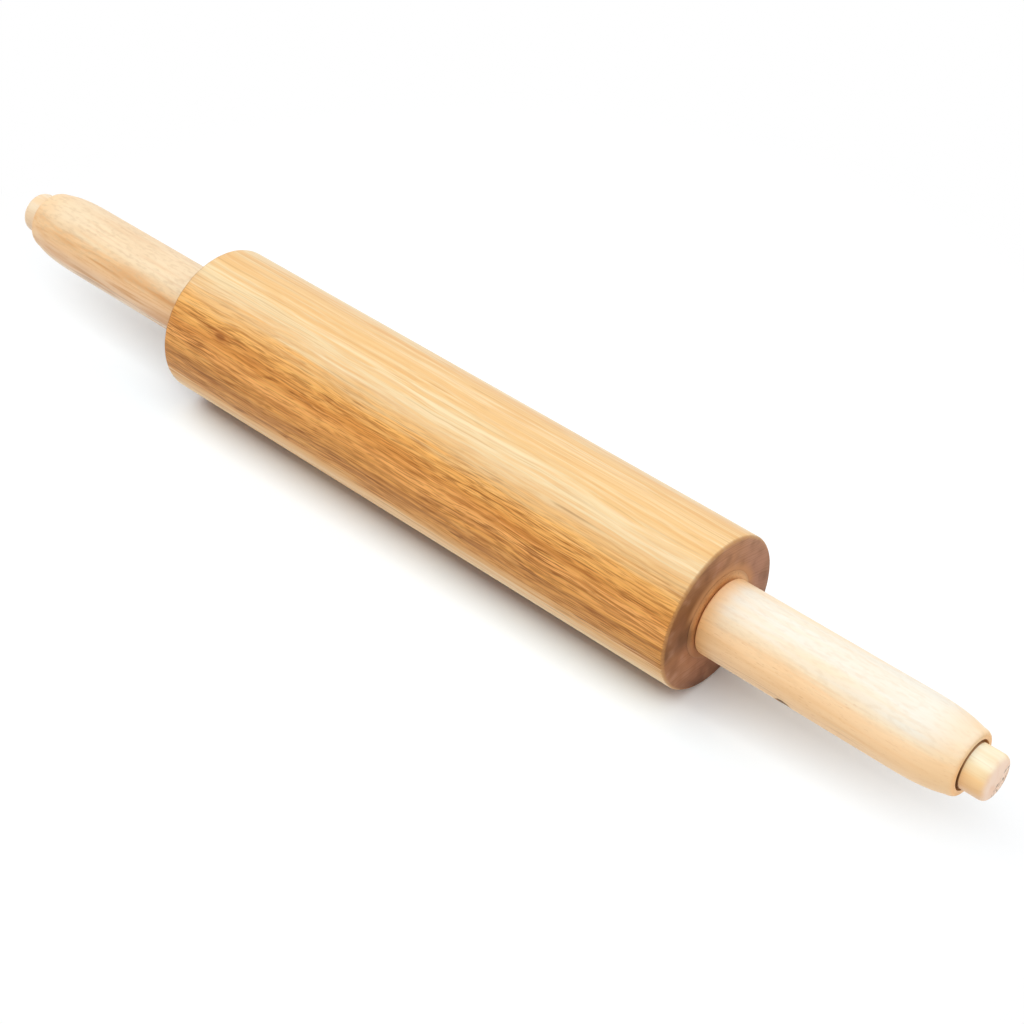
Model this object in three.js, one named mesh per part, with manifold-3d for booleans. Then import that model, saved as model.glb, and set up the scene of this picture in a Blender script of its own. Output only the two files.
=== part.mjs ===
// Wooden rolling pin, in millimetres: a bored barrel turns on a dowel axle through two flanged bushes,
// and a bored handle sits over each end of the axle, locked there by a cross peg.
// X runs along the pin and Z is up. The origin is on the table, under the middle of the barrel.
import * as THREE from "three";
import { mergeVertices } from "three/addons/utils/BufferGeometryUtils.js";
import Module from "manifold-3d";

// Barrel
const barrelLength = 250;
const barrelDiameter = 60;
const barrelRimRounding = 1.2;
const barrelBoreClearance = 1.3; // round the axle, between the bushes

// Axle
const axleDiameter = 17;
const axleStubLength = 9.7; // what shows past each handle
const axleRimRounding = 2.2;

// Bearing bushes, a sleeve inside the barrel's end and a flange outside it
const bushWall = 3;
const bushSleeveLength = 16;
const bushFlangeOverhang = 5.2; // flange past the sleeve, as a radius
const bushFlangeThickness = 0.6;
const bushFlangeRounding = 0.45;

// Handles, straight from the root to a soft shoulder at the outer end
const handleLength = 101.8;
const handleDiameter = 29.3;
const handleRootRounding = 0.8;
const handleShoulderLength = 22.5;
const handleEndRoundingLength = 3;
const handleEndRoundingDepth = 1.6; // as a radius
const handleEndFaceWidth = 1.4; // flat ring round the axle

// Cross pegs, each in a blind hole drilled by hand from one side of its handle
const pegDiameter = 6.2;
const pegRecess = 0.4; // its end below the handle's surface
const pegBottomWall = 3.5; // wood left in the axle under the peg
const pegFromRoot = 36.4;
const pegAngleLeft = 236; // degrees about X, from +Y towards +Z
const pegAngleRight = 214;

// Clearances
const runningClearance = 0.35; // axle in bush, as a radius
const handleBoreClearance = 1; // axle in handle, as a radius
const pressGap = 0.1; // bush in barrel, peg in its hole
const endFloat = 0.4; // bush flange to handle root

// Flats round each turned piece, and steps along each curve of its profile
const barrelSides = 48;
const axleSides = 40;
const bushSides = 40;
const handleSides = 40;
const pegSides = 20;
const curveSteps = 3;

// Worked out from the sizes above
const barrelRadius = barrelDiameter / 2;
const axleRadius = axleDiameter / 2;
const handleRadius = handleDiameter / 2;
const pegRadius = pegDiameter / 2;
const axisHeight = barrelRadius;
const bushBoreRadius = axleRadius + runningClearance;
const bushSleeveRadius = bushBoreRadius + bushWall;
const bushFlangeRadius = bushSleeveRadius + bushFlangeOverhang;
const handleBoreRadius = axleRadius + handleBoreClearance;
const flangeSeat = barrelLength / 2 + pressGap;
const handleRoot = flangeSeat + bushFlangeThickness + endFloat;
const axleHalfLength = handleRoot + handleLength + axleStubLength;

const wasm = await Module();
wasm.setup();

// A piece turned about X from a path of (radius, place along X), with its flats at the true radius
function turned(path, sides) {
  const cornerFactor = 1 / Math.cos(Math.PI / sides);
  const points = path.getPoints(curveSteps).map((p) => new THREE.Vector2(p.x * cornerFactor, p.y));
  const geometry = new THREE.LatheGeometry(points, sides, Math.PI / sides);
  return geometry.rotateZ(-Math.PI / 2);
}

// A closed geometry as a solid that can be cut
function solidOf(geometry) {
  const bare = new THREE.BufferGeometry();
  bare.setAttribute("position", geometry.getAttribute("position"));
  bare.setIndex(geometry.index);
  const merged = mergeVertices(bare);
  const vertProperties = merged.getAttribute("position").array;
  const triVerts = Uint32Array.from(merged.index.array);
  return new wasm.Manifold(new wasm.Mesh({ numProp: 3, vertProperties, triVerts }));
}

// The geometry with each cutter taken out of it
function cut(geometry, cutters) {
  const left = cutters.reduce((body, cutter) => body.subtract(solidOf(cutter)), solidOf(geometry));
  const mesh = left.getMesh();
  const result = new THREE.BufferGeometry();
  result.setAttribute("position", new THREE.BufferAttribute(mesh.vertProperties, 3));
  result.setIndex(new THREE.BufferAttribute(mesh.triVerts, 1));
  result.computeVertexNormals();
  return result;
}

// Barrel: rounded rims, a counterbore at each end for a bush, and a clear bore between them
function barrelGeometry() {
  const end = barrelLength / 2;
  const boreRadius = axleRadius + barrelBoreClearance;
  const counterboreRadius = bushSleeveRadius + pressGap;
  const counterboreBottom = flangeSeat - bushSleeveLength - pressGap;
  const profile = new THREE.Path();
  profile.moveTo(counterboreRadius, -end);
  profile.lineTo(barrelRadius - barrelRimRounding, -end);
  profile.quadraticCurveTo(barrelRadius, -end, barrelRadius, -end + barrelRimRounding);
  profile.lineTo(barrelRadius, end - barrelRimRounding);
  profile.quadraticCurveTo(barrelRadius, end, barrelRadius - barrelRimRounding, end);
  profile.lineTo(counterboreRadius, end);
  profile.lineTo(counterboreRadius, counterboreBottom);
  profile.lineTo(boreRadius, counterboreBottom);
  profile.lineTo(boreRadius, -counterboreBottom);
  profile.lineTo(counterboreRadius, -counterboreBottom);
  profile.lineTo(counterboreRadius, -end);
  return turned(profile, barrelSides);
}

// Axle: a plain dowel with rounded rims
function axleGeometry() {
  const end = axleHalfLength;
  const profile = new THREE.Path();
  profile.moveTo(0, -end);
  profile.lineTo(axleRadius - axleRimRounding, -end);
  profile.quadraticCurveTo(axleRadius, -end, axleRadius, -end + axleRimRounding);
  profile.lineTo(axleRadius, end - axleRimRounding);
  profile.quadraticCurveTo(axleRadius, end, axleRadius - axleRimRounding, end);
  profile.lineTo(0, end);
  return turned(profile, axleSides);
}

// Right-hand bush: sleeve in the barrel, flange against its end face
function bushGeometry() {
  const sleeveEnd = flangeSeat - bushSleeveLength;
  const flangeFace = flangeSeat + bushFlangeThickness;
  const profile = new THREE.Path();
  profile.moveTo(bushBoreRadius, sleeveEnd);
  profile.lineTo(bushSleeveRadius, sleeveEnd);
  profile.lineTo(bushSleeveRadius, flangeSeat);
  profile.lineTo(bushFlangeRadius, flangeSeat);
  profile.lineTo(bushFlangeRadius, flangeFace - bushFlangeRounding);
  profile.quadraticCurveTo(bushFlangeRadius, flangeFace, bushFlangeRadius - bushFlangeRounding, flangeFace);
  profile.lineTo(bushBoreRadius, flangeFace);
  profile.lineTo(bushBoreRadius, sleeveEnd);
  return turned(profile, bushSides);
}

// Right-hand handle: rounded root, straight grip, shoulder that falls off as a cubic, rounded end
function handleGeometry() {
  const end = handleRoot + handleLength;
  const shoulderEnd = end - handleEndRoundingLength;
  const shoulderStart = shoulderEnd - handleShoulderLength;
  const shoulderThird = handleShoulderLength / 3;
  const endFaceRadius = handleBoreRadius + handleEndFaceWidth;
  const shoulderEndRadius = endFaceRadius + handleEndRoundingDepth;
  const profile = new THREE.Path();
  profile.moveTo(handleBoreRadius, handleRoot);
  profile.lineTo(handleRadius - handleRootRounding, handleRoot);
  profile.quadraticCurveTo(handleRadius, handleRoot, handleRadius, handleRoot + handleRootRounding);
  profile.lineTo(handleRadius, shoulderStart);
  profile.bezierCurveTo(
    handleRadius,
    shoulderStart + shoulderThird,
    handleRadius,
    shoulderEnd - shoulderThird,
    shoulderEndRadius,
    shoulderEnd,
  );
  profile.quadraticCurveTo(shoulderEndRadius, end, endFaceRadius, end);
  profile.lineTo(handleBoreRadius, end);
  profile.lineTo(handleBoreRadius, handleRoot);
  return turned(profile, handleSides);
}

// A round bar across the pin at one place along X, from one height along its direction to another
function crossBar(radius, place, angle, inner, outer) {
  const bar = new THREE.CylinderGeometry(radius, radius, outer - inner, pegSides);
  bar.translate(0, (inner + outer) / 2, 0);
  bar.rotateX(THREE.MathUtils.degToRad(angle));
  return bar.translate(place, 0, 0);
}

// Peg in its hole: it stops below the handle's surface and short of the axle's far side
function pegGeometry(place, angle) {
  return crossBar(pegRadius, place, angle, pegBottomWall - axleRadius, handleRadius - pegRecess);
}

// Cutter for a peg's hole, open past the handle's surface
function pegHole(place, angle) {
  const bottom = pegBottomWall - axleRadius - pressGap;
  return crossBar(pegRadius + pressGap, place, angle, bottom, handleRadius + pegRadius);
}

function wood(color, roughness) {
  return new THREE.MeshStandardMaterial({ color, roughness, metalness: 0 });
}

const pin = new THREE.Group();
pin.position.z = axisHeight;

function addPiece(name, geometry, material) {
  const piece = new THREE.Mesh(geometry, material);
  piece.name = name;
  pin.add(piece);
}

// The left end is the right end turned half round about Z
const ends = [
  { name: "left", turn: Math.PI, pegPlace: -(handleRoot + pegFromRoot), pegAngle: pegAngleLeft },
  { name: "right", turn: 0, pegPlace: handleRoot + pegFromRoot, pegAngle: pegAngleRight },
];
const pegHoles = ends.map((end) => pegHole(end.pegPlace, end.pegAngle));

addPiece("roller_barrel", barrelGeometry(), wood(0xb98449, 0.42));
addPiece("axle_dowel", cut(axleGeometry(), pegHoles), wood(0xe9cda6, 0.6));
ends.forEach((end, i) => {
  addPiece(`bearing_bush_${end.name}`, bushGeometry().rotateZ(end.turn), wood(0xa9764a, 0.5));
  const handle = handleGeometry().rotateZ(end.turn);
  addPiece(`handle_${end.name}`, cut(handle, [pegHoles[i]]), wood(0xefd3a8, 0.5));
  addPiece(`handle_peg_${end.name}`, pegGeometry(end.pegPlace, end.pegAngle), wood(0x6b4a2e, 0.6));
});

const rollingPin = new THREE.Group();
rollingPin.add(pin);

export default rollingPin;
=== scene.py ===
"""Looks of the wooden rolling pin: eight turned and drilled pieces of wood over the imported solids.

Metres in the scene, millimetres in the wood patterns. X runs along the pin and Z is up.
The barrel lies on the floor.
"""
import math

import bpy
from mathutils import Matrix, Vector


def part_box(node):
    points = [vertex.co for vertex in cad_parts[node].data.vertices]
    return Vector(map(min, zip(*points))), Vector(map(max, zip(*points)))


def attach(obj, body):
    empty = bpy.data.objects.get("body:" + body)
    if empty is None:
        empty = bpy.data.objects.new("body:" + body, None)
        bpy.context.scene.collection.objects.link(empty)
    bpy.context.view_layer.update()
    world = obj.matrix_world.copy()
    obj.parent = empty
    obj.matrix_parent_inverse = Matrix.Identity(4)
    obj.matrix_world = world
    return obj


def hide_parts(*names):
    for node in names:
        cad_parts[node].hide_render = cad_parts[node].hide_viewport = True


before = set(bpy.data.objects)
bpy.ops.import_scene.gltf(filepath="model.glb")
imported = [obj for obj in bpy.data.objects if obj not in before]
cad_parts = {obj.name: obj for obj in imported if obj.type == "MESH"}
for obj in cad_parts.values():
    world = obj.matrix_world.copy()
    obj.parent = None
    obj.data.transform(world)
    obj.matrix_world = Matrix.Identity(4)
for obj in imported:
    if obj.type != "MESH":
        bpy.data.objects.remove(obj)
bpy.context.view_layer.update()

MM = 0.001
SIDES = ("left", "right")

# Roundings of the turned pieces
BARREL_RIM_ROUNDING = 1.2 * MM
AXLE_RIM_ROUNDING = 2.2 * MM
FLANGE_SLOPE = 1.6 * MM
HANDLE_ROOT_ROUNDING = 0.8 * MM
HANDLE_SHOULDER_LENGTH = 22.5 * MM
HANDLE_END_ROUNDING_LENGTH = 3.0 * MM
HANDLE_END_ROUNDING_DEPTH = 1.6 * MM
HANDLE_END_FACE_WIDTH = 1.4 * MM
PEG_RIM_ROUNDING = 0.2 * MM

# Bores and clearances inside the pin, and how far the axle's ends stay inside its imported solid
BARREL_BORE_CLEARANCE = 1.3 * MM
BUSH_WALL = 3.0 * MM
FLANGE_THICKNESS = 0.6 * MM
RUNNING_CLEARANCE = 0.35 * MM
HANDLE_BORE_CLEARANCE = 1.0 * MM
PRESS_GAP = 0.1 * MM
AXLE_END_TRIM = 0.005 * MM

# Cross pegs: angles are in degrees about X, from +Y towards +Z
PEG_RADIUS = 3.1 * MM
PEG_RECESS = 0.4 * MM
PEG_BOTTOM_WALL = 3.5 * MM
PEG_PLACE = {"left": -162.5 * MM, "right": 162.5 * MM}
PEG_ANGLE = {"left": 236.0, "right": 214.0}

# Wear of the edges: its depth on each piece, the size of its patches, and its share on a handle's shoulder
BARREL_WEAR = 0.35 * MM
BUSH_WEAR = 0.1 * MM
AXLE_WEAR = 0.3 * MM
HANDLE_WEAR = 0.3 * MM
PEG_WEAR = 0.1 * MM
WEAR_PATCH = 7.0 * MM
SHOULDER_WEAR = 0.15

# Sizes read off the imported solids
BARREL_LOW, BARREL_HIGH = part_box("roller_barrel")
AXLE_LOW, AXLE_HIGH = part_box("axle_dowel")
BUSH_LOW, BUSH_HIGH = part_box("bearing_bush_right")
HANDLE_LOW, HANDLE_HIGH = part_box("handle_right")
BARREL_RADIUS = (BARREL_HIGH.z - BARREL_LOW.z) / 2
AXLE_RADIUS = (AXLE_HIGH.z - AXLE_LOW.z) / 2
FLANGE_RADIUS = (BUSH_HIGH.z - BUSH_LOW.z) / 2
HANDLE_RADIUS = (HANDLE_HIGH.z - HANDLE_LOW.z) / 2
AXIS_HEIGHT = BARREL_RADIUS
BUSH_BORE_RADIUS = AXLE_RADIUS + RUNNING_CLEARANCE
SLEEVE_RADIUS = BUSH_BORE_RADIUS + BUSH_WALL
HANDLE_BORE_RADIUS = AXLE_RADIUS + HANDLE_BORE_CLEARANCE

# Facets round each turned piece, the spacing of rings along its straight parts, and how its mesh is closed
BARREL_FACETS = 192
HANDLE_FACETS = 144
BUSH_FACETS = 144
AXLE_FACETS = 112
PEG_FACETS = 48
ROUNDING_STEPS = 6
SHOULDER_STEPS = 24
RING_SPACING = 2.5 * MM
SEAM_WIDTH = 0.002 * MM
SHARP_ANGLE = 40.0

# Half the floor's width, and the distances between which its shadow gives way to plain white
FLOOR_REACH = 6.0
SHADOW_FULL = 0.11
SHADOW_GONE = 0.3
WHITE = (1.0, 1.0, 1.0, 1.0)


# Node helpers


def put(tree, kind, inputs=None, **settings):
    """A new node, with its settings made and its inputs given as values or as sockets to join."""
    node = tree.nodes.new(kind)
    for name, value in settings.items():
        setattr(node, name, value)
    for socket, value in (inputs or {}).items():
        if isinstance(value, bpy.types.NodeSocket):
            tree.links.new(value, node.inputs[socket])
        else:
            node.inputs[socket].default_value = value
    return node


def calc(tree, operation, *values):
    """The result of a Math node on values or sockets."""
    return put(tree, "ShaderNodeMath", dict(enumerate(values)), operation=operation).outputs[0]


def times(tree, first, second):
    """The product of two factors."""
    return calc(tree, "MULTIPLY", first, second)


def shift(tree, operation, first, second):
    """The result of a Vector Math node on two vectors."""
    return put(tree, "ShaderNodeVectorMath", {0: first, 1: second}, operation=operation).outputs[0]


def length_of(tree, vector):
    """The length of a vector."""
    return put(tree, "ShaderNodeVectorMath", {0: vector}, operation="LENGTH").outputs["Value"]


def coordinate(tree, vector, axis):
    """The part of a vector along one axis."""
    return put(tree, "ShaderNodeSeparateXYZ", {0: vector}).outputs[axis]


# Turning and drilling


def straight(start, end):
    """Profile points from start up to, but not at, end, a ring spacing apart."""
    steps = max(1, round(math.dist(start, end) / RING_SPACING))
    return [
        (start[0] + (end[0] - start[0]) * i / steps, start[1] + (end[1] - start[1]) * i / steps, 0.0)
        for i in range(steps)
    ]


def rounding(start, corner, end):
    """Profile points of a rounded edge from start up to, but not at, end. These are the ones that wear."""
    points = []
    for i in range(ROUNDING_STEPS):
        t = i / ROUNDING_STEPS
        weights = ((1 - t) ** 2, 2 * t * (1 - t), t**2)
        x, radius = (sum(w * p[k] for w, p in zip(weights, (start, corner, end))) for k in (0, 1))
        points.append((x, radius, math.sin(math.pi * t)))
    return points


def shoulder(start, end):
    """Profile points of a handle's shoulder, a cubic fall from start up to, but not at, end."""
    points = []
    for i in range(SHOULDER_STEPS):
        t = i / SHOULDER_STEPS
        x = start[0] + (end[0] - start[0]) * t
        radius = start[1] + (end[1] - start[1]) * t**3
        points.append((x, radius, SHOULDER_WEAR * t))
    return points


def both_ends(profile):
    """The profiles of a piece at the left and at the right end of the pin, from the right-hand one."""
    mirrored = [(-x, radius, wear) for x, radius, wear in reversed(profile)]
    return {"left": mirrored, "right": profile}


def barrel_profile():
    """Barrel: rounded rims, a counterbore at each end for a bush, and a clear bore between them."""
    end = BARREL_HIGH.x
    seat_radius = SLEEVE_RADIUS + PRESS_GAP
    seat = BUSH_LOW.x - PRESS_GAP
    bore = AXLE_RADIUS + BARREL_BORE_CLEARANCE
    rim = BARREL_RIM_ROUNDING
    corners = [
        (-end, seat_radius),
        (-end, BARREL_RADIUS - rim),
        (-end + rim, BARREL_RADIUS),
        (end - rim, BARREL_RADIUS),
        (end, BARREL_RADIUS - rim),
        (end, seat_radius),
        (seat, seat_radius),
        (seat, bore),
        (-seat, bore),
        (-seat, seat_radius),
    ]
    profile = straight(corners[0], corners[1])
    profile += rounding(corners[1], (-end, BARREL_RADIUS), corners[2])
    profile += straight(corners[2], corners[3])
    profile += rounding(corners[3], (end, BARREL_RADIUS), corners[4])
    for start, stop in zip(corners[4:], corners[5:] + corners[:1]):
        profile += straight(start, stop)
    return profile + profile[:1]


def axle_profile():
    """Axle: a plain dowel with rounded rims, closed at both ends."""
    end = AXLE_HIGH.x - AXLE_END_TRIM
    rim = AXLE_RIM_ROUNDING
    profile = straight((-end, 0.0), (-end, AXLE_RADIUS - rim))
    profile += rounding((-end, AXLE_RADIUS - rim), (-end, AXLE_RADIUS), (-end + rim, AXLE_RADIUS))
    profile += straight((-end + rim, AXLE_RADIUS), (end - rim, AXLE_RADIUS))
    profile += rounding((end - rim, AXLE_RADIUS), (end, AXLE_RADIUS), (end, AXLE_RADIUS - rim))
    profile += straight((end, AXLE_RADIUS - rim), (end, 0.0))
    return profile + [(end, 0.0, 0.0)]


def bush_profile():
    """Right-hand bush: a sleeve in the barrel's end and a flange against its face."""
    face = BUSH_HIGH.x
    seat = face - FLANGE_THICKNESS
    slope_top = FLANGE_RADIUS - FLANGE_SLOPE
    corners = [
        (BUSH_LOW.x, BUSH_BORE_RADIUS),
        (BUSH_LOW.x, SLEEVE_RADIUS),
        (seat, SLEEVE_RADIUS),
        (seat, FLANGE_RADIUS),
    ]
    profile = []
    for start, stop in zip(corners, corners[1:]):
        profile += straight(start, stop)
    profile += rounding(corners[-1], (face, FLANGE_RADIUS - FLANGE_SLOPE / 3), (face, slope_top))
    profile += straight((face, slope_top), (face, BUSH_BORE_RADIUS))
    profile += straight((face, BUSH_BORE_RADIUS), corners[0])
    return profile + profile[:1]


def handle_profile():
    """Right-hand handle: rounded root, straight grip, soft shoulder, rounded end with a flat ring."""
    root = HANDLE_LOW.x
    end = HANDLE_HIGH.x
    ring = HANDLE_BORE_RADIUS + HANDLE_END_FACE_WIDTH
    shoulder_end = (end - HANDLE_END_ROUNDING_LENGTH, ring + HANDLE_END_ROUNDING_DEPTH)
    grip_start = (root + HANDLE_ROOT_ROUNDING, HANDLE_RADIUS)
    grip_end = (shoulder_end[0] - HANDLE_SHOULDER_LENGTH, HANDLE_RADIUS)
    root_edge = (root, HANDLE_RADIUS - HANDLE_ROOT_ROUNDING)
    profile = straight((root, HANDLE_BORE_RADIUS), root_edge)
    profile += rounding(root_edge, (root, HANDLE_RADIUS), grip_start)
    profile += straight(grip_start, grip_end)
    profile += shoulder(grip_end, shoulder_end)
    profile += rounding(shoulder_end, (end, shoulder_end[1]), (end, ring))
    profile += straight((end, ring), (end, HANDLE_BORE_RADIUS))
    profile += straight((end, HANDLE_BORE_RADIUS), (root, HANDLE_BORE_RADIUS))
    return profile + profile[:1]


def peg_profile():
    """Cross peg along its own axis, from its foot in the axle to its slightly rounded end in the handle."""
    foot = PEG_BOTTOM_WALL - AXLE_RADIUS
    end = HANDLE_RADIUS - PEG_RECESS
    rim = PEG_RIM_ROUNDING
    profile = straight((foot, 0.0), (foot, PEG_RADIUS))
    profile += straight((foot, PEG_RADIUS), (end - rim, PEG_RADIUS))
    profile += rounding((end - rim, PEG_RADIUS), (end, PEG_RADIUS), (end, PEG_RADIUS - rim))
    profile += straight((end, PEG_RADIUS - rim), (end, 0.0))
    return profile + [(end, 0.0, 0.0)]


def new_tree(name, sizes):
    """A Geometry Nodes tree with a geometry in and out, and named inputs given as (name, socket type)."""
    tree = bpy.data.node_groups.new(name, "GeometryNodeTree")
    tree.interface.new_socket("Geometry", in_out="INPUT", socket_type="NodeSocketGeometry")
    for size, kind in sizes:
        tree.interface.new_socket(size, in_out="INPUT", socket_type=kind)
    tree.interface.new_socket("Geometry", in_out="OUTPUT", socket_type="NodeSocketGeometry")
    return tree, put(tree, "NodeGroupInput").outputs


def close_tree(tree, geometry, wood):
    """The end of a tree: everything made real, in the piece's wood."""
    real = put(tree, "GeometryNodeRealizeInstances", {"Geometry": geometry})
    dressed = put(tree, "GeometryNodeSetMaterial", {"Geometry": real.outputs[0], "Material": wood})
    put(tree, "NodeGroupOutput", {"Geometry": dressed.outputs[0]})


def at_row(tree, profile, value, row, kind):
    """What a value is at the profile point of a row."""
    inputs = {"Geometry": profile, "Value": value, "Index": row}
    return put(tree, "GeometryNodeSampleIndex", inputs, data_type=kind).outputs[0]


def keep_value(tree, geometry, name, value):
    """The geometry with a named value kept on it, for the wood to read."""
    inputs = {"Geometry": geometry, "Name": name, "Value": value}
    return put(tree, "GeometryNodeStoreNamedAttribute", inputs, data_type="FLOAT").outputs[0]


def turning_tree():
    """Turns a profile line of (x, radius) points about X, closes it, and wears its edges inwards a little.

    The grid has a row for each profile point and a column for each facet. It keeps two values for the wood:
    edge_wear from the profile, and end_grain, which is 1 on faces cut across the grain.
    """
    sizes = [
        ("Facets", "NodeSocketInt"),
        ("Wear Depth", "NodeSocketFloat"),
        ("Wear Patch", "NodeSocketFloat"),
        ("Seed", "NodeSocketInt"),
        ("Wood", "NodeSocketMaterial"),
    ]
    tree, given = new_tree("turned_piece", sizes)
    profile = given["Geometry"]
    columns = calc(tree, "ADD", given["Facets"], 1.0)
    rows = put(tree, "GeometryNodeAttributeDomainSize", {"Geometry": profile}).outputs["Point Count"]
    grid = put(tree, "GeometryNodeMeshGrid", {"Vertices X": rows, "Vertices Y": columns}).outputs["Mesh"]

    index = put(tree, "GeometryNodeInputIndex").outputs[0]
    row = calc(tree, "FLOOR", calc(tree, "DIVIDE", calc(tree, "ADD", index, 0.5), columns))
    column = calc(tree, "SUBTRACT", index, times(tree, row, columns))
    turn = calc(tree, "DIVIDE", times(tree, column, 2 * math.pi), given["Facets"])
    position = put(tree, "GeometryNodeInputPosition").outputs[0]
    point = at_row(tree, profile, position, row, "FLOAT_VECTOR")
    along = coordinate(tree, point, "X")
    radius = coordinate(tree, point, "Z")
    across = times(tree, radius, calc(tree, "COSINE", turn))
    up = times(tree, radius, calc(tree, "SINE", turn))
    round_place = put(tree, "ShaderNodeCombineXYZ", {"X": along, "Y": across, "Z": up}).outputs[0]
    wear = put(tree, "GeometryNodeInputNamedAttribute", {"Name": "edge_wear"}, data_type="FLOAT")
    wear = wear.outputs[0]
    grid = keep_value(tree, grid, "edge_wear", at_row(tree, profile, wear, row, "FLOAT"))
    turned = put(tree, "GeometryNodeSetPosition", {"Geometry": grid, "Position": round_place}).outputs[0]
    seam = {"Geometry": turned, "Distance": SEAM_WIDTH}
    closed = put(tree, "GeometryNodeMergeByDistance", seam).outputs[0]
    closed = put(tree, "GeometryNodeFlipFaces", {"Mesh": closed}).outputs[0]

    normal = put(tree, "GeometryNodeInputNormal").outputs[0]
    patch = calc(tree, "DIVIDE", 1.0, given["Wear Patch"])
    patches = {"Vector": position, "W": given["Seed"], "Scale": patch, "Detail": 3.0}
    patches = put(tree, "ShaderNodeTexNoise", patches, noise_dimensions="4D").outputs["Fac"]
    depth = times(tree, times(tree, wear, patches), given["Wear Depth"])
    inwards = {0: normal, "Scale": times(tree, depth, -1.0)}
    inwards = put(tree, "ShaderNodeVectorMath", inwards, operation="SCALE").outputs[0]
    worn = put(tree, "GeometryNodeSetPosition", {"Geometry": closed, "Offset": inwards}).outputs[0]

    facing = calc(tree, "ABSOLUTE", coordinate(tree, normal, "X"))
    finished = keep_value(tree, worn, "end_grain", calc(tree, "POWER", facing, 2.0))
    close_tree(tree, finished, given["Wood"])
    return tree


def drilling_tree():
    """Drills a blind hole across the pin, at a place along X and an angle about it."""
    sizes = [(name, "NodeSocketFloat") for name in ("Place", "Angle", "Radius", "Bottom", "Top")]
    tree, given = new_tree("peg_hole", sizes + [("Wood", "NodeSocketMaterial")])
    depth = calc(tree, "SUBTRACT", given["Top"], given["Bottom"])
    drill = {"Vertices": PEG_FACETS, "Radius": given["Radius"], "Depth": depth}
    drill = put(tree, "GeometryNodeMeshCylinder", drill).outputs["Mesh"]
    middle = times(tree, calc(tree, "ADD", given["Top"], given["Bottom"]), 0.5)
    raised = put(tree, "ShaderNodeCombineXYZ", {"Z": middle}).outputs[0]
    drill = put(tree, "GeometryNodeTransform", {"Geometry": drill, "Translation": raised}).outputs[0]
    lean = calc(tree, "SUBTRACT", calc(tree, "RADIANS", given["Angle"]), math.pi / 2)
    lean = put(tree, "FunctionNodeAxisAngleToRotation", {"Axis": (1.0, 0.0, 0.0), "Angle": lean}).outputs[0]
    along = put(tree, "ShaderNodeCombineXYZ", {"X": given["Place"]}).outputs[0]
    aimed = {"Geometry": drill, "Translation": along, "Rotation": lean}
    drill = put(tree, "GeometryNodeTransform", aimed).outputs[0]
    cut = {"Mesh 1": given["Geometry"], "Mesh 2": drill}
    drilled = put(tree, "GeometryNodeMeshBoolean", cut, operation="DIFFERENCE", solver="EXACT")
    close_tree(tree, drilled.outputs["Mesh"], given["Wood"])
    return tree


def work(blank, name, tree, sizes):
    """Adds a tree to a blank as a modifier, with its named inputs set by their identifiers."""
    modifier = blank.modifiers.new(name, "NODES")
    modifier.node_group = tree
    for socket in tree.interface.items_tree:
        if socket.in_out == "INPUT" and socket.name in sizes:
            modifier[socket.identifier] = sizes[socket.name]


def turned_piece(name, profile, wood, facets, wear_depth, seed, holes=(), place=None):
    """A finished piece as a plain mesh: turned from its profile, drilled, and put in its place."""
    mesh = bpy.data.meshes.new(name)
    points = [(x, 0.0, radius) for x, radius, wear in profile]
    mesh.from_pydata(points, [(i, i + 1) for i in range(len(points) - 1)], [])
    wear = mesh.attributes.new("edge_wear", "FLOAT", "POINT")
    wear.data.foreach_set("value", [value for x, radius, value in profile])
    piece = bpy.data.objects.new(name, mesh)
    bpy.context.scene.collection.objects.link(piece)
    sizes = {"Facets": facets, "Wear Depth": wear_depth, "Wear Patch": WEAR_PATCH, "Seed": seed}
    work(piece, "turning", TURNING, {**sizes, "Wood": wood})
    for hole in holes:
        work(piece, "drilling", DRILLING, {**hole, "Wood": wood})
    evaluated = piece.evaluated_get(bpy.context.evaluated_depsgraph_get())
    finished = bpy.data.meshes.new_from_object(evaluated)
    piece.modifiers.clear()
    piece.data = finished
    bpy.data.meshes.remove(mesh)
    finished.name = name
    finished.materials.clear()
    finished.materials.append(wood)
    finished.transform(place or Matrix.Translation((0.0, 0.0, AXIS_HEIGHT)))
    finished.shade_smooth()
    finished.set_sharp_from_angle(angle=math.radians(SHARP_ANGLE))
    return piece


# Wood finishes. Every wood reads Object coordinates, in millimetres from the pin's axis.


def shade(red, green, blue):
    """A colour given as it looks on a screen, 0 to 255, in the linear values that shaders use."""
    levels = [value / 255 for value in (red, green, blue)]
    return (*[v / 12.92 if v <= 0.04045 else ((v + 0.055) / 1.055) ** 2.4 for v in levels], 1.0)


def new_wood(name):
    """A material, its tree, its shader, and the place of each point in millimetres from the pin's axis."""
    wood = bpy.data.materials.new(name)
    wood.use_nodes = True
    tree = wood.node_tree
    tree.nodes.clear()
    shader = put(tree, "ShaderNodeBsdfPrincipled", {"Specular IOR Level": 0.2})
    put(tree, "ShaderNodeOutputMaterial", {"Surface": shader.outputs[0]})
    coordinates = put(tree, "ShaderNodeTexCoord").outputs["Object"]
    to_axis = (0.0, 0.0, -AXIS_HEIGHT / MM)
    in_millimetres = (1 / MM, 1 / MM, 1 / MM)
    centred = {"Vector": coordinates, "Location": to_axis, "Scale": in_millimetres}
    return wood, tree, shader, put(tree, "ShaderNodeMapping", centred).outputs[0]


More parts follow.
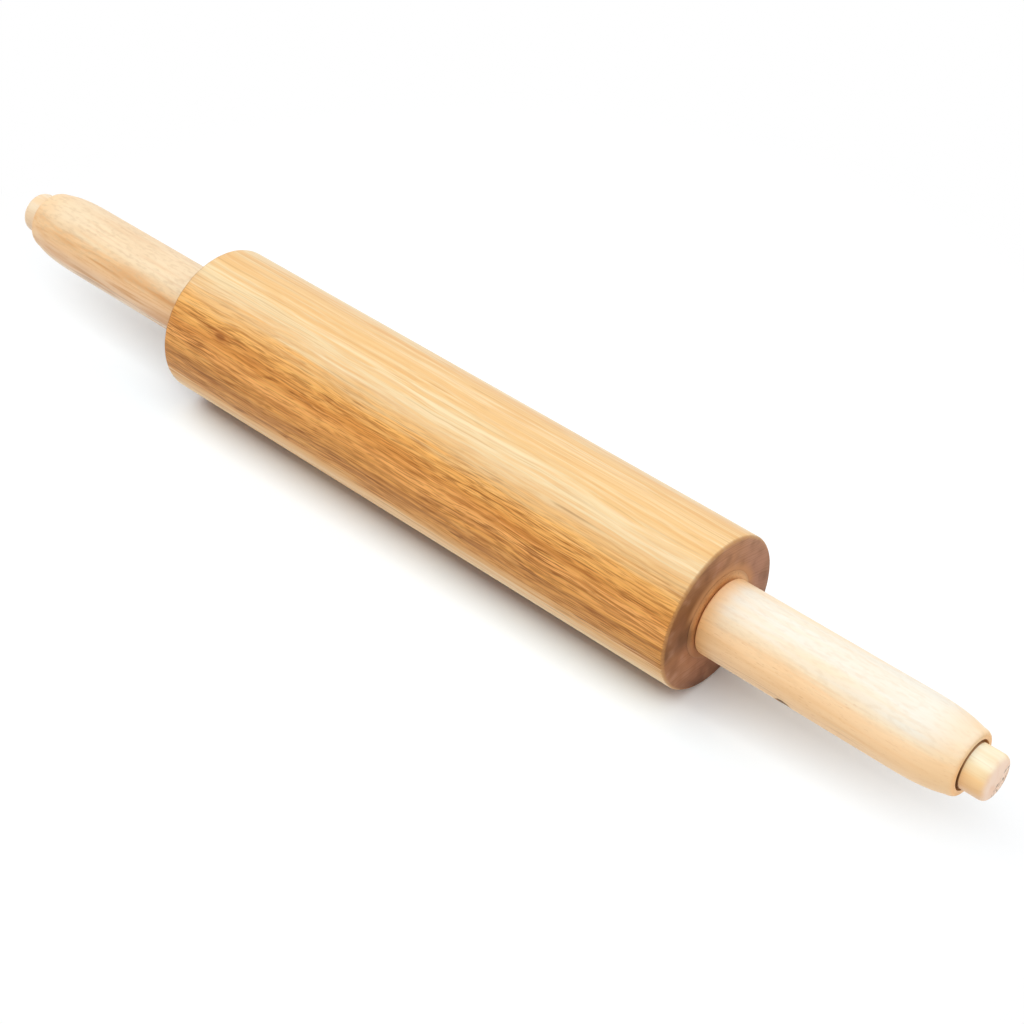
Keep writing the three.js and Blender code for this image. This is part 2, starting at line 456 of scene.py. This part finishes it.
def finish_wood(tree, shader, colour, roughness, relief, strength, depth, sunk=False):
    """Joins a wood's colour, roughness and fine relief to its shader. The depth is in millimetres."""
    inputs = {"Height": relief, "Strength": strength, "Distance": depth * MM}
    bump = put(tree, "ShaderNodeBump", inputs, invert=sunk).outputs[0]
    tree.links.new(colour, shader.inputs["Base Color"])
    tree.links.new(roughness, shader.inputs["Roughness"])
    tree.links.new(bump, shader.inputs["Normal"])


def noise(tree, place, scale, detail):
    """Noise at a place, the same in every direction."""
    inputs = {"Vector": place, "Scale": scale, "Detail": detail}
    return put(tree, "ShaderNodeTexNoise", inputs).outputs["Fac"]


def streaks(tree, place, length, width, detail=2.0):
    """Noise drawn out along the grain: patches of about that length and width in millimetres."""
    drawn = shift(tree, "DIVIDE", place, (length, width, width))
    return noise(tree, drawn, 1.0, detail)


def wandering(tree, place, length, width, reach):
    """The place moved across the grain, so that fibres drawn from it wander by up to about that reach."""
    drawn = shift(tree, "DIVIDE", place, (length, width, width))
    drift = put(tree, "ShaderNodeTexNoise", {"Vector": drawn, "Scale": 1.0, "Detail": 1.0}).outputs["Color"]
    drift = shift(tree, "SUBTRACT", drift, (0.5, 0.5, 0.5))
    spread = 4 * reach  # the noise keeps within about a quarter of its middle value
    return shift(tree, "ADD", place, shift(tree, "MULTIPLY", drift, (0.0, spread, spread)))


def fade(tree, value, low, high, most=1.0):
    """A soft step from 0, where the value is low, to most, where it is high."""
    ends = {"Value": value, "From Min": low, "From Max": high, "To Max": most}
    return put(tree, "ShaderNodeMapRange", ends, interpolation_type="SMOOTHSTEP").outputs[0]


def tint(tree, factor, first, second, blend="MIX"):
    """The first colour with the second blended over it."""
    inputs = {0: factor, 6: first, 7: second}
    return put(tree, "ShaderNodeMix", inputs, data_type="RGBA", blend_type=blend).outputs[2]


def kept_value(tree, name):
    """A value that the turning tree keeps on the piece."""
    return put(tree, "ShaderNodeAttribute", attribute_name=name).outputs["Fac"]


def off_axis(tree, place):
    """The place without its part along the pin."""
    return shift(tree, "MULTIPLY", place, (0.0, 1.0, 1.0))


def growth_layers(tree, place, heart, slope):
    """Height of the wood's growth layers over the one through the axis, in millimetres.

    The layers curve round the tree's heart, at (y, z) far from the axis, and climb along X by the slope.
    """
    heart_y, heart_z = heart
    from_heart = shift(tree, "SUBTRACT", place, (0.0, heart_y, heart_z))
    distance = length_of(tree, off_axis(tree, from_heart))
    height = calc(tree, "SUBTRACT", distance, abs(heart_z))
    return calc(tree, "MULTIPLY_ADD", coordinate(tree, place, "X"), -slope, height)


def layer_noise(tree, height, thickness):
    """Noise that changes only from layer to layer."""
    inputs = {"W": calc(tree, "DIVIDE", height, thickness), "Scale": 1.0, "Detail": 2.0}
    return put(tree, "ShaderNodeTexNoise", inputs, noise_dimensions="1D").outputs["Fac"]


def layer_colours(tree, height, reach, colours):
    """A colour for each height in millimetres, with even changes between the given (height, colour) stops.

    The stops lie within reach of the axis, and the first of them is at its lowest height.
    """
    ends = {"Value": height, "From Min": -reach, "From Max": reach}
    share = put(tree, "ShaderNodeMapRange", ends).outputs[0]
    ramp = put(tree, "ShaderNodeValToRGB", {"Fac": share})
    stops = ramp.color_ramp.elements
    stops.remove(stops[1])
    stops[0].color = colours[0][1]
    for at, colour in colours[1:]:
        stops.new((at + reach) / (2 * reach)).color = colour
    return ramp.outputs["Color"]


def near(tree, place, spot, half_size):
    """Distance from a spot in the wood, counted in the spot's own half sizes."""
    return length_of(tree, shift(tree, "DIVIDE", shift(tree, "SUBTRACT", place, spot), half_size))


def on_barrel(x, angle):
    """A spot on the barrel in millimetres from the pin's axis, at degrees from +Y towards +Z."""
    radius = BARREL_RADIUS / MM
    return (x, radius * math.cos(math.radians(angle)), radius * math.sin(math.radians(angle)))


def darkened_beside_bushes(tree, place, colour):
    """The colour with a dark patch over it beside the bushes, on the side that faces the front."""
    from_dark_patch = near(tree, off_axis(tree, place), (0.0, -19.2, 2.0), (1.0, 6.0, 6.5))
    return tint(tree, fade(tree, from_dark_patch, 1.3, 0.2, 0.66), colour, shade(92, 60, 34))


def barrel_side_colours(tree, height):
    """Layers along the barrel: brown at the bottom, then pale sapwood, amber heartwood and honey on top."""
    brown = shade(194, 126, 60)
    pale_sapwood = shade(250, 210, 156)
    sapwood = shade(236, 192, 134)
    dark_sapwood = shade(231, 180, 114)
    amber = shade(226, 162, 84)
    warm_amber = shade(235, 166, 82)
    bright_amber = shade(249, 180, 102)
    deep_amber = shade(225, 154, 76)
    gold = shade(248, 188, 106)
    honey = shade(232, 190, 130)
    pale_honey_and_highlight = shade(233, 209, 164)
    warm_honey = shade(233, 193, 135)
    stops = [
        (-32.0, brown),
        (-25.7, brown),
        (-22.2, pale_sapwood),
        (-16.0, pale_sapwood),
        (-11.5, sapwood),
        (-7.6, dark_sapwood),
        (-5.2, amber),
        (2.0, amber),
        (6.0, warm_amber),
        (11.0, bright_amber),
        (15.5, deep_amber),
        (21.0, gold),
        (25.0, honey),
        # Partly wood and partly a painted highlight: this pale stop lies where the satin highlight runs
        # along the top.
        (28.5, pale_honey_and_highlight),
        (31.0, warm_honey),
    ]
    return layer_colours(tree, height, 32.0, stops)


def barrel_end_colours(tree, place, height):
    """Brown end grain of the barrel, with painted light bounced from the handle round the bush, and darker
    beside it.
    """
    deep_brown = shade(80, 54, 42)
    dark_brown = shade(104, 72, 55)
    brown = shade(132, 91, 68)
    rose_brown = shade(154, 108, 81)
    pale_brown = shade(172, 122, 90)
    tan = shade(166, 114, 78)
    umber = shade(132, 90, 58)
    warm_umber = shade(135, 91, 57)
    chestnut = shade(151, 101, 62)
    pale_chestnut = shade(182, 130, 92)
    stops = [
        (-32.0, deep_brown),
        (-25.5, dark_brown),
        (-22.0, brown),
        (-19.0, rose_brown),
        (-14.0, pale_brown),
        (-4.0, tan),
        (1.0, umber),
        (6.0, warm_umber),
        (15.0, chestnut),
        (26.0, pale_chestnut),
    ]
    colour = layer_colours(tree, height, 32.0, stops)
    blotches = noise(tree, place, 0.07, 1.5)
    colour = tint(tree, fade(tree, blotches, 0.48, 0.75, 0.5), colour, shade(186, 132, 104))
    colour = tint(tree, fade(tree, blotches, 0.52, 0.25, 0.6), colour, shade(114, 76, 48))
    back = coordinate(tree, place, "Y")
    up = coordinate(tree, place, "Z")
    colour = tint(tree, fade(tree, back, 5.0, 20.0, 0.45), colour, shade(186, 143, 122))
    front = times(tree, fade(tree, back, 4.0, -8.0, 0.45), fade(tree, up, 4.0, 10.0))
    colour = tint(tree, front, colour, shade(112, 68, 34))
    mottling = noise(tree, place, 0.17, 1.0)
    colour = tint(tree, fade(tree, mottling, 0.5, 0.8, 0.6), colour, shade(188, 142, 114))
    colour = tint(tree, fade(tree, mottling, 0.5, 0.2, 0.4), colour, shade(108, 70, 44))
    rings = layer_noise(tree, height, 0.8)
    colour = tint(tree, fade(tree, rings, 0.45, 0.7, 0.25), colour, shade(118, 78, 48))
    from_axis = length_of(tree, off_axis(tree, place))
    # Painted bounce light: the upper end face is paler round the bush, as if lit by light bounced off the
    # handle.
    handle_bounce_light = times(tree, fade(tree, from_axis, 21.5, 17.5, 0.75), fade(tree, height, 4.0, 12.0))
    colour = tint(tree, handle_bounce_light, colour, shade(206, 152, 104))
    return darkened_beside_bushes(tree, place, colour)


def barrel_wood():
    """Honey-brown hardwood with a satin finish: clear sapwood, and heartwood full of pores over it."""
    wood, tree, shader, place = new_wood("honey_hardwood")
    end = kept_value(tree, "end_grain")
    worn = kept_value(tree, "edge_wear")

    from_knot = near(tree, place, on_barrel(-97.4, 141.6), (3.2, 1.5, 1.5))
    fibres = wandering(tree, wandering(tree, place, 90.0, 30.0, 1.2), 22.0, 6.0, 0.3)
    height = growth_layers(tree, fibres, heart=(-20.0, -110.0), slope=-0.005)
    height = calc(tree, "ADD", height, fade(tree, from_knot, 3.0, 0.0, 1.6))

    # The layers change colour raggedly along the fibres, and the sapwood rises towards the right end
    uneven = calc(tree, "SUBTRACT", streaks(tree, fibres, 45.0, 1.6, 3.0), 0.5)
    ragged = calc(tree, "MULTIPLY_ADD", uneven, 11.0, height)
    to_right = fade(tree, coordinate(tree, place, "X"), -40.0, 70.0)
    rise = times(tree, to_right, fade(tree, height, 3.0, -3.0, 1.3))
    ragged = calc(tree, "SUBTRACT", ragged, rise)
    colour = barrel_side_colours(tree, ragged)

    sap = times(tree, fade(tree, ragged, -4.5, -7.0), fade(tree, ragged, -25.7, -22.2))
    heartwood = times(tree, fade(tree, height, 28.5, 18.0), calc(tree, "SUBTRACT", 1.0, sap))
    clear = calc(tree, "SUBTRACT", 1.0, heartwood)
    ribbons = streaks(tree, fibres, 200.0, 2.0, 3.0)
    pale_ribbons = times(tree, clear, fade(tree, ribbons, 0.5, 0.68, 0.45))
    colour = tint(tree, pale_ribbons, colour, shade(248, 226, 186))
    dark_ribbons = times(tree, clear, fade(tree, ribbons, 0.5, 0.32, 0.45))
    colour = tint(tree, dark_ribbons, colour, shade(226, 172, 108))
    gleams = fade(tree, streaks(tree, fibres, 60.0, 1.0), 0.5, 0.7, 0.55)
    colour = tint(tree, times(tree, gleams, heartwood), colour, shade(240, 182, 98))
    bands = fade(tree, layer_noise(tree, height, 2.0), 0.45, 0.75, 0.45)
    colour = tint(tree, times(tree, bands, heartwood), colour, shade(188, 116, 46))
    threads = fade(tree, streaks(tree, fibres, 90.0, 1.1, 3.0), 0.44, 0.72, 0.32)
    colour = tint(tree, threads, colour, shade(214, 156, 94))
    lines = fade(tree, streaks(tree, fibres, 80.0, 0.8, 1.0), 0.58, 0.76, 0.4)
    lines = times(tree, lines, calc(tree, "MULTIPLY_ADD", sap, 1.2, 0.6))
    colour = tint(tree, lines, colour, shade(170, 122, 72))
    sap_gleams = fade(tree, streaks(tree, fibres, 100.0, 1.3, 2.0), 0.5, 0.7, 0.6)
    colour = tint(tree, times(tree, sap_gleams, sap), colour, shade(250, 220, 176))
    pale_sap = times(tree, times(tree, to_right, sap), fade(tree, height, -9.0, -16.0, 0.4))
    colour = tint(tree, pale_sap, colour, shade(255, 236, 196))
    low = times(tree, fade(tree, height, 11.0, 4.0), heartwood)
    low_streaks = fade(tree, streaks(tree, fibres, 55.0, 1.5, 3.0), 0.46, 0.66, 0.6)
    colour = tint(tree, times(tree, low_streaks, low), colour, shade(158, 96, 44))
    smears = fade(tree, streaks(tree, fibres, 34.0, 1.0, 2.0), 0.46, 0.7, 0.6)
    colour = tint(tree, times(tree, smears, heartwood), colour, shade(178, 104, 38))

    pores = fade(tree, streaks(tree, fibres, 9.0, 0.4, 1.0), 0.48, 0.66)
    pores = times(tree, pores, calc(tree, "MULTIPLY_ADD", heartwood, 0.9, 0.1))
    colour = tint(tree, times(tree, pores, 0.5), colour, shade(146, 82, 28))
    crowding = times(tree, fade(tree, streaks(tree, fibres, 40.0, 5.0), 0.45, 0.65), heartwood)
    dashes = fade(tree, streaks(tree, fibres, 12.0, 0.5, 1.0), 0.5, 0.64, 0.7)
    dashes = times(tree, dashes, crowding)
    colour = tint(tree, dashes, colour, shade(134, 74, 26))
    colour = tint(tree, fade(tree, from_knot, 2.4, 0.6, 0.5), colour, shade(176, 100, 40))
    colour = tint(tree, fade(tree, from_knot, 1.2, 0.4, 0.6), colour, shade(130, 68, 24))
    for spot, depth in [(on_barrel(72.0, 121.0), 0.55), (on_barrel(-87.0, 103.0), 0.3)]:
        long_line = fade(tree, near(tree, fibres, spot, (20.0, 0.45, 0.45)), 1.3, 0.3, depth)
        colour = tint(tree, long_line, colour, shade(152, 102, 50))
    colour = tint(tree, end, colour, barrel_end_colours(tree, place, height))
    colour = tint(tree, times(tree, worn, 0.6), colour, shade(176, 126, 78))

    side = calc(tree, "SUBTRACT", 1.0, end)
    open_pores = times(tree, calc(tree, "MAXIMUM", pores, dashes), side)
    roughness = calc(tree, "MULTIPLY_ADD", open_pores, 0.2, 0.36)
    roughness = calc(tree, "MULTIPLY_ADD", end, 0.3, roughness)
    relief = calc(tree, "MULTIPLY_ADD", threads, 0.3, open_pores)
    finish_wood(tree, shader, colour, roughness, relief, strength=0.5, depth=0.05, sunk=True)
    return wood


def handle_wood(side, layers, slope, streak, figure, low_grain):
    """Pale wood with faint grain, sanded smooth.

    The layers are (height, colour) stops. Figure and low grain say how strong their streaks are: the
    figure's show mostly in the lower half of the handle, and the darker ones of the low grain under them.
    """
    wood, tree, shader, place = new_wood(f"pale_sanded_wood_{side}")
    end = kept_value(tree, "end_grain")
    fibres = wandering(tree, place, 60.0, 20.0, 0.8)
    height = growth_layers(tree, fibres, heart=(0.0, -150.0), slope=slope)
    uneven = calc(tree, "SUBTRACT", streaks(tree, fibres, 60.0, 4.0), 0.5)
    height = calc(tree, "MULTIPLY_ADD", uneven, 8.0, height)
    colour = layer_colours(tree, height, 24.0, layers)

    up = coordinate(tree, place, "Z")
    from_middle = calc(tree, "ABSOLUTE", coordinate(tree, place, "X"))
    root = HANDLE_LOW.x / MM
    # Painted reflected light: the warm orange near the root stands for light bounced from the barrel's
    # brown end.
    root_bounce_light = fade(tree, from_middle, root + 9.0, root + 1.0, 0.6)
    colour = tint(tree, root_bounce_light, colour, shade(255, 198, 122))
    colour = tint(tree, fade(tree, from_middle, 208.0, 226.0, 0.45), colour, shade(246, 208, 158))

    shown = calc(tree, "ADD", fade(tree, up, 12.0, 7.0, 0.75), 0.25)
    shown = times(tree, shown, calc(tree, "ADD", fade(tree, from_middle, 212.0, 192.0, 0.5), 0.5))
    clouds = fade(tree, streaks(tree, fibres, 50.0, 5.0), 0.42, 0.72, figure)
    colour = tint(tree, times(tree, clouds, shown), colour, streak)
    smears = fade(tree, streaks(tree, fibres, 36.0, 1.3, 3.0), 0.45, 0.7, figure)
    colour = tint(tree, times(tree, smears, shown), colour, streak)
    low_streaks = fade(tree, streaks(tree, fibres, 30.0, 1.0, 2.0), 0.48, 0.66, low_grain)
    low_streaks = times(tree, low_streaks, fade(tree, up, 0.5, -3.5))
    low_streaks = times(tree, low_streaks, fade(tree, up, -8.5, -5.0, 0.75))
    low_streaks = times(tree, low_streaks, fade(tree, from_middle, 202.0, 188.0))
    colour = tint(tree, low_streaks, colour, shade(146, 108, 70))
    mottling = fade(tree, streaks(tree, fibres, 4.0, 1.2, 2.0), 0.45, 0.7, 0.55 * low_grain)
    mottling = times(tree, mottling, fade(tree, up, 2.0, 9.0))
    colour = tint(tree, mottling, colour, shade(212, 182, 144))
    flecks = fade(tree, streaks(tree, fibres, 2.6, 0.4, 1.0), 0.62, 0.74, 0.3)
    colour = tint(tree, times(tree, flecks, shown), colour, shade(206, 148, 92))
    colour = tint(tree, end, colour, shade(252, 242, 230), "MULTIPLY")

    roughness = calc(tree, "MULTIPLY_ADD", flecks, 0.3, 0.4)
    roughness = calc(tree, "MULTIPLY_ADD", end, 0.2, roughness)
    relief = calc(tree, "ADD", smears, flecks)
    finish_wood(tree, shader, colour, roughness, relief, strength=0.4, depth=0.04, sunk=True)
    return wood


def axle_wood():
    """Pale bare dowel, painted darker as shade where it leaves the handles, with a few dark pores in its
    sawn ends.
    """
    wood, tree, shader, place = new_wood("bare_dowel_wood")
    end = kept_value(tree, "end_grain")
    fibres = wandering(tree, place, 60.0, 20.0, 0.6)
    height = growth_layers(tree, fibres, heart=(0.0, -150.0), slope=0.0)
    stops = [
        (-9.0, shade(238, 206, 178)),
        (-3.0, shade(242, 207, 174)),
        (0.0, shade(248, 202, 148)),
        (4.0, shade(250, 208, 150)),
        (7.0, shade(245, 229, 190)),
        (8.5, shade(240, 234, 210)),
    ]
    colour = layer_colours(tree, height, 9.0, stops)
    along = coordinate(tree, place, "X")
    colour = tint(tree, fade(tree, along, -100.0, -200.0, 0.7), colour, shade(236, 214, 186))
    clouds = fade(tree, streaks(tree, fibres, 40.0, 5.0), 0.45, 0.7, 0.5)
    colour = tint(tree, clouds, colour, shade(236, 194, 140))
    threads = fade(tree, streaks(tree, fibres, 25.0, 0.7, 3.0), 0.5, 0.75, 0.25)
    colour = tint(tree, threads, colour, shade(206, 152, 94))

    sawn = tint(tree, clouds, shade(250, 222, 200), shade(240, 196, 166))
    specks = fade(tree, streaks(tree, fibres, 8.0, 1.1, 3.0), 0.48, 0.64, 0.65)
    low_back = {0: place, 1: (0.0, 0.7, -0.7)}
    low_back = put(tree, "ShaderNodeVectorMath", low_back, operation="DOT_PRODUCT").outputs["Value"]
    specks = times(tree, specks, fade(tree, low_back, 0.8, 2.4))
    sawn = tint(tree, specks, sawn, shade(112, 100, 86))
    colour = tint(tree, end, colour, sawn)

    # Painted shade: a brown band where the dowel leaves each handle stands for shade in the gap, darkest at
    # the front.
    joint = HANDLE_HIGH.x / MM - 0.7
    from_joint = calc(tree, "SUBTRACT", calc(tree, "ABSOLUTE", along), joint)
    gap_shade = fade(tree, calc(tree, "ABSOLUTE", from_joint), 1.2, 0.9, 0.9)
    colour = tint(tree, gap_shade, colour, shade(158, 110, 66))
    from_front = near(tree, off_axis(tree, place), (0.0, -AXLE_RADIUS / MM, 0.5), (1.0, 4.0, 5.0))
    deep_gap_shade = times(tree, gap_shade, fade(tree, from_front, 1.6, 0.4))
    colour = tint(tree, deep_gap_shade, colour, shade(116, 78, 44))

    roughness = calc(tree, "MULTIPLY_ADD", end, 0.2, 0.5)
    relief = calc(tree, "ADD", threads, times(tree, specks, end))
    finish_wood(tree, shader, colour, roughness, relief, strength=0.5, depth=0.08, sunk=True)
    return wood


def bush_wood():
    """Brown turned wood with fine rings left by the lathe on the flange, darker in a patch on one side."""
    wood, tree, shader, place = new_wood("turned_brown_wood")
    worn = kept_value(tree, "edge_wear")
    clouds = fade(tree, streaks(tree, place, 20.0, 5.0), 0.35, 0.7)
    colour = tint(tree, clouds, shade(212, 152, 94), shade(196, 136, 84))
    back = coordinate(tree, place, "Y")
    colour = tint(tree, fade(tree, back, -1.0, 11.0, 0.7), colour, shade(232, 190, 138))
    specks = fade(tree, streaks(tree, place, 5.0, 0.5, 2.0), 0.6, 0.7, 0.5)
    colour = tint(tree, specks, colour, shade(132, 84, 46))
    colour = tint(tree, times(tree, worn, 0.4), colour, shade(180, 128, 84))
    from_axis = length_of(tree, off_axis(tree, place))
    colour = tint(tree, fade(tree, from_axis, 15.9, 17.0, 0.6), colour, shade(178, 126, 84))
    up = coordinate(tree, place, "Z")
    colour = tint(tree, fade(tree, up, 3.0, -6.0, 0.8), colour, shade(166, 116, 82))
    colour = darkened_beside_bushes(tree, place, colour)
    roughness = calc(tree, "MULTIPLY_ADD", specks, 0.2, 0.6)
    ring_spacing = 0.5
    rings = calc(tree, "SINE", times(tree, from_axis, 2 * math.pi / ring_spacing))
    finish_wood(tree, shader, colour, roughness, rings, strength=0.3, depth=0.02)
    return wood


def peg_wood():
    """Dark end grain of the sunk cross pegs."""
    wood, tree, shader, place = new_wood("dark_peg_wood")
    clouds = noise(tree, place, 0.8, 3.0)
    colour = tint(tree, fade(tree, clouds, 0.35, 0.65), shade(112, 78, 48), shade(74, 48, 28))
    roughness = fade(tree, clouds, 0.7, 0.3, 0.9)
    finish_wood(tree, shader, colour, roughness, clouds, strength=0.5, depth=0.1)
    return wood


# The pieces


def dress(piece, node, body):
    """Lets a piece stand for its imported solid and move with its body."""
    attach(piece, body)
    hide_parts(node)


def peg_hole(side):
    """Sizes of the blind hole that a handle's peg sits in."""
    return {
        "Place": PEG_PLACE[side],
        "Angle": PEG_ANGLE[side],
        "Radius": PEG_RADIUS + PRESS_GAP,
        "Bottom": PEG_BOTTOM_WALL - AXLE_RADIUS - PRESS_GAP,
        "Top": HANDLE_RADIUS + PEG_RADIUS,
    }


def peg_place(side):
    """Where a peg goes: its own axis turned from X to the peg's direction across the pin."""
    across = Matrix.Rotation(math.radians(90), 4, "Z")
    aimed = Matrix.Rotation(math.radians(PEG_ANGLE[side]), 4, "X") @ across
    return Matrix.Translation((PEG_PLACE[side], 0.0, AXIS_HEIGHT)) @ aimed


def build_barrel():
    wood = barrel_wood()
    barrel = turned_piece("turned_barrel", barrel_profile(), wood, BARREL_FACETS, BARREL_WEAR, seed=11)
    dress(barrel, "roller_barrel", "barrel")


def build_bushes():
    wood = bush_wood()
    for side, profile in both_ends(bush_profile()).items():
        bush = turned_piece(f"turned_bush_{side}", profile, wood, BUSH_FACETS, BUSH_WEAR, seed=23)
        dress(bush, f"bearing_bush_{side}", "barrel")


def build_axle():
    wood = axle_wood()
    holes = [peg_hole(side) for side in SIDES]
    axle = turned_piece("turned_axle", axle_profile(), wood, AXLE_FACETS, AXLE_WEAR, seed=31, holes=holes)
    dress(axle, "axle_dowel", "axle_and_handles")


def build_handles():
    left_layers = [
        (-24.0, shade(250, 234, 214)),
        (-6.5, shade(247, 226, 200)),
        (-2.0, shade(242, 208, 172)),
        (5.0, shade(243, 199, 150)),
        (8.6, shade(241, 200, 150)),
        (10.6, shade(240, 214, 175)),
        (14.0, shade(236, 214, 180)),
    ]
    right_layers = [
        (-24.0, shade(252, 222, 190)),
        (2.0, shade(255, 218, 172)),
        (9.0, shade(255, 213, 162)),
        (12.5, shade(255, 219, 174)),
        (16.0, shade(248, 227, 194)),
        (20.0, shade(238, 232, 218)),
    ]
    left_streak = shade(213, 153, 94)
    right_streak = shade(242, 194, 138)
    woods = {
        "left": handle_wood("left", left_layers, 0.0, left_streak, figure=0.75, low_grain=0.8),
        "right": handle_wood("right", right_layers, -0.03, right_streak, figure=0.45, low_grain=0.3),
    }
    for side, profile in both_ends(handle_profile()).items():
        name = f"turned_handle_{side}"
        hole = [peg_hole(side)]
        handle = turned_piece(name, profile, woods[side], HANDLE_FACETS, HANDLE_WEAR, seed=41, holes=hole)
        dress(handle, f"handle_{side}", "axle_and_handles")


def build_pegs():
    wood = peg_wood()
    for side in SIDES:
        name = f"turned_peg_{side}"
        place = peg_place(side)
        peg = turned_piece(name, peg_profile(), wood, PEG_FACETS, PEG_WEAR, seed=53, place=place)
        dress(peg, f"handle_peg_{side}", "axle_and_handles")


# Studio


def seen_directly(tree):
    """1 for what the camera sees, straight or in a gloss, and 0 for light that only bounces."""
    path = put(tree, "ShaderNodeLightPath").outputs
    mirrored = calc(tree, "MAXIMUM", path["Is Glossy Ray"], path["Is Transmission Ray"])
    return calc(tree, "MAXIMUM", path["Is Camera Ray"], mirrored)


def build_floor():
    """A wide white floor that keeps the pin's shadow.

    The camera sees a coat that counts twice, so that it is white in full light, and plain white farther
    off. Light that only bounces meets ordinary white paint.
    """
    mesh = bpy.data.meshes.new("floor")
    reach = FLOOR_REACH
    corners = [(-reach, -reach, 0.0), (reach, -reach, 0.0), (reach, reach, 0.0), (-reach, reach, 0.0)]
    mesh.from_pydata(corners, [], [(0, 1, 2, 3)])
    paint = bpy.data.materials.new("floor_white")
    paint.use_nodes = True
    tree = paint.node_tree
    tree.nodes.clear()
    bouncing = put(tree, "ShaderNodeBsdfDiffuse", {"Color": (0.88, 0.88, 0.88, 1.0)}).outputs[0]
    coat = put(tree, "ShaderNodeBsdfDiffuse", {"Color": (0.452, 0.486, 0.507, 1.0)}).outputs[0]
    shadowed = put(tree, "ShaderNodeAddShader", {0: coat, 1: coat}).outputs[0]
    backdrop = put(tree, "ShaderNodeEmission", {"Color": WHITE, "Strength": 1.0}).outputs[0]
    place = put(tree, "ShaderNodeTexCoord").outputs["Object"]
    far_off = fade(tree, length_of(tree, place), SHADOW_FULL, SHADOW_GONE)
    seen = put(tree, "ShaderNodeMixShader", {0: far_off, 1: shadowed, 2: backdrop}).outputs[0]
    look = put(tree, "ShaderNodeMixShader", {0: seen_directly(tree), 1: bouncing, 2: seen}).outputs[0]
    put(tree, "ShaderNodeOutputMaterial", {"Surface": look})
    mesh.materials.append(paint)
    floor = bpy.data.objects.new("floor", mesh)
    bpy.context.scene.collection.objects.link(floor)


def build_world():
    """Even white light from all round, with a plain white background."""
    world = bpy.data.worlds.new("studio")
    world.use_nodes = True
    tree = world.node_tree
    tree.nodes.clear()
    fill = put(tree, "ShaderNodeBackground", {"Color": WHITE, "Strength": 0.35}).outputs[0]
    backdrop = put(tree, "ShaderNodeBackground", {"Color": WHITE, "Strength": 1.0}).outputs[0]
    look = put(tree, "ShaderNodeMixShader", {0: seen_directly(tree), 1: fill, 2: backdrop}).outputs[0]
    put(tree, "ShaderNodeOutputWorld", {"Surface": look})
    bpy.context.scene.world = world


def build_softbox(name, angle, distance, size, energy):
    """A large softbox that shines on the pin from a distance, at degrees about X from +Y towards +Z."""
    lamp = bpy.data.lights.new(name, "AREA")
    lamp.shape = "RECTANGLE"
    lamp.size, lamp.size_y = size
    lamp.energy = energy
    softbox = bpy.data.objects.new(name, lamp)
    outwards = Vector((0.0, math.cos(math.radians(angle)), math.sin(math.radians(angle))))
    softbox.location = Vector((0.0, 0.0, AXIS_HEIGHT)) + distance * outwards
    softbox.rotation_euler = (-outwards).to_track_quat("-Z", "Y").to_euler()
    bpy.context.scene.collection.objects.link(softbox)


def build_camera():
    """The camera, fitted to the pin's outlines in the photo."""
    lens = bpy.data.cameras.new("camera")
    lens.sensor_width = 36.0
    lens.lens = 80.0
    lens.clip_start = 0.01
    camera = bpy.data.objects.new("camera", lens)
    camera.location = (0.44366, -0.46086, 0.57619)
    looking = Vector((-0.49679, 0.55388, -0.66814))
    camera.rotation_euler = looking.to_track_quat("-Z", "Y").to_euler()
    bpy.context.scene.collection.objects.link(camera)
    bpy.context.scene.camera = camera


TURNING = turning_tree()
DRILLING = drilling_tree()
bpy.context.scene.view_settings.view_transform = "Standard"
build_barrel()
build_bushes()
build_axle()
build_handles()
build_pegs()
build_floor()
build_world()
build_softbox("front_softbox", angle=102.0, distance=4.0, size=(13.9, 2.9), energy=285.0)
build_softbox("back_softbox", angle=45.0, distance=3.0, size=(4.0, 1.5), energy=23.0)
build_camera()
